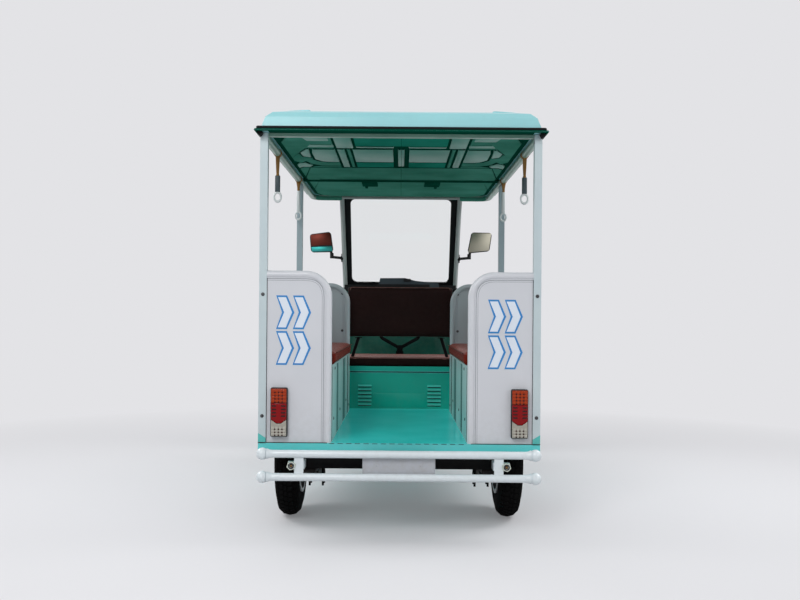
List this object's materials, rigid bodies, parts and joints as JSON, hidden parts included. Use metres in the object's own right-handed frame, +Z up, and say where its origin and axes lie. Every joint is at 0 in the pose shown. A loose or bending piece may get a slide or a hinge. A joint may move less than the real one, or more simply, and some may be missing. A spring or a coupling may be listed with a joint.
{
  "type": "motorized tricycle taxi",
  "caption": "Three-wheeled electric passenger taxi with an open rear compartment, facing benches, a pressed roof and a narrow driver's cab behind one steered front wheel.",
  "frame": {"origin": "on the ground under the middle of the vehicle's overall length and width", "axes": "+X to the vehicle's right, +Y forward, +Z up"},
  "size_m": [1.214, 2.9157, 1.8013],
  "materials": {
    "roof_paint": "satin pale aqua",
    "liner_paint": "satin dark teal",
    "mint_paint": "gloss mint",
    "white_paint": "gloss white",
    "post_paint": "gloss pale grey",
    "floor_paint": "satin teal",
    "box_paint": "satin dark teal",
    "chassis_paint": "satin black",
    "grey_paint": "satin grey",
    "spring_steel": "dark steel",
    "motor_metal": "cast aluminium",
    "bright_steel": "bright steel",
    "bench_leather": "brown leathercloth",
    "driver_leather": "dark maroon leathercloth",
    "glass": "clear",
    "seal_rubber": "matt black",
    "tyre_rubber": "matt black",
    "rim_paint": "silver",
    "black_plastic": "matt black",
    "lamp_lens": "red, amber and clear lens",
    "headlamp_lens": "clear lens",
    "plate_white": "blank pale",
    "battery_case": "dark grey",
    "handle_mix": "strap, sleeve and ring"
  },
  "bodies": {
    "vehicle": {"chassis_rails": "chassis_paint", "cab_rails": "chassis_paint", "floor_bearers": "chassis_paint", "chassis_crossmembers": "chassis_paint", "chassis_neck": "chassis_paint", "rear_axle": "chassis_paint", "drive_motor": "motor_metal", "leaf_springs": "spring_steel", "floor_deck": "floor_paint", "wheel_housings": "floor_paint", "rear_posts": "post_paint", "mid_posts": "post_paint", "rear_guards": "white_paint", "front_guards": "white_paint", "side_walls": "mint_paint", "bench_boxes": "white_paint", "bench_cushions": "bench_leather", "bench_backrests": "bench_leather", "roof_side_rails": "post_paint", "roof_cross_rails": "liner_paint", "roof_panel": "roof_paint", "roof_liner": "liner_paint", "cab_floor": "floor_paint", "driver_seat_box": "box_paint", "battery_pack": "battery_case", "backrest_struts": "black_plastic", "driver_cushion": "driver_leather", "driver_backrest": "driver_leather", "front_fascia": "mint_paint", "dashboard": "black_plastic", "windshield_frame": "grey_paint", "windshield_seal": "seal_rubber", "windshield_glass": "glass", "front_lamps": "headlamp_lens", "mirror_heads": "black_plastic", "mirror_arms": "black_plastic", "rear_bumper": "white_paint", "number_plate": "plate_white", "tail_lamps": "lamp_lens", "grab_handles": "handle_mix"},
    "steering": {"front_fork": "grey_paint", "front_mudguard": "mint_paint", "handlebar": "chassis_paint", "handlebar_grips": "seal_rubber"},
    "front_wheel": {"front_tyre": "tyre_rubber", "front_rim": "rim_paint"},
    "rear_left_wheel": {"rear_left_tyre": "tyre_rubber", "rear_left_rim": "rim_paint"},
    "rear_right_wheel": {"rear_right_tyre": "tyre_rubber", "rear_right_rim": "rim_paint"}
  },
  "joints": [
    {"name": "steer", "type": "hinge", "parent": "vehicle", "child": "steering", "pos_m": [0, 1.00915, 0.62921], "axis": [0, -0.342, 0.9397], "range_deg": [-35, 35]},
    {"name": "front_wheel_spin", "type": "hinge", "parent": "steering", "child": "front_wheel", "pos_m": [0, 1.17714, 0.27], "axis": [1, 0, 0], "continuous": true},
    {"name": "rear_left_wheel_spin", "type": "hinge", "parent": "vehicle", "child": "rear_left_wheel", "pos_m": [-0.493, -0.97286, 0.27], "axis": [1, 0, 0], "continuous": true},
    {"name": "rear_right_wheel_spin", "type": "hinge", "parent": "vehicle", "child": "rear_right_wheel", "pos_m": [0.493, -0.97286, 0.27], "axis": [1, 0, 0], "continuous": true}
  ]
}
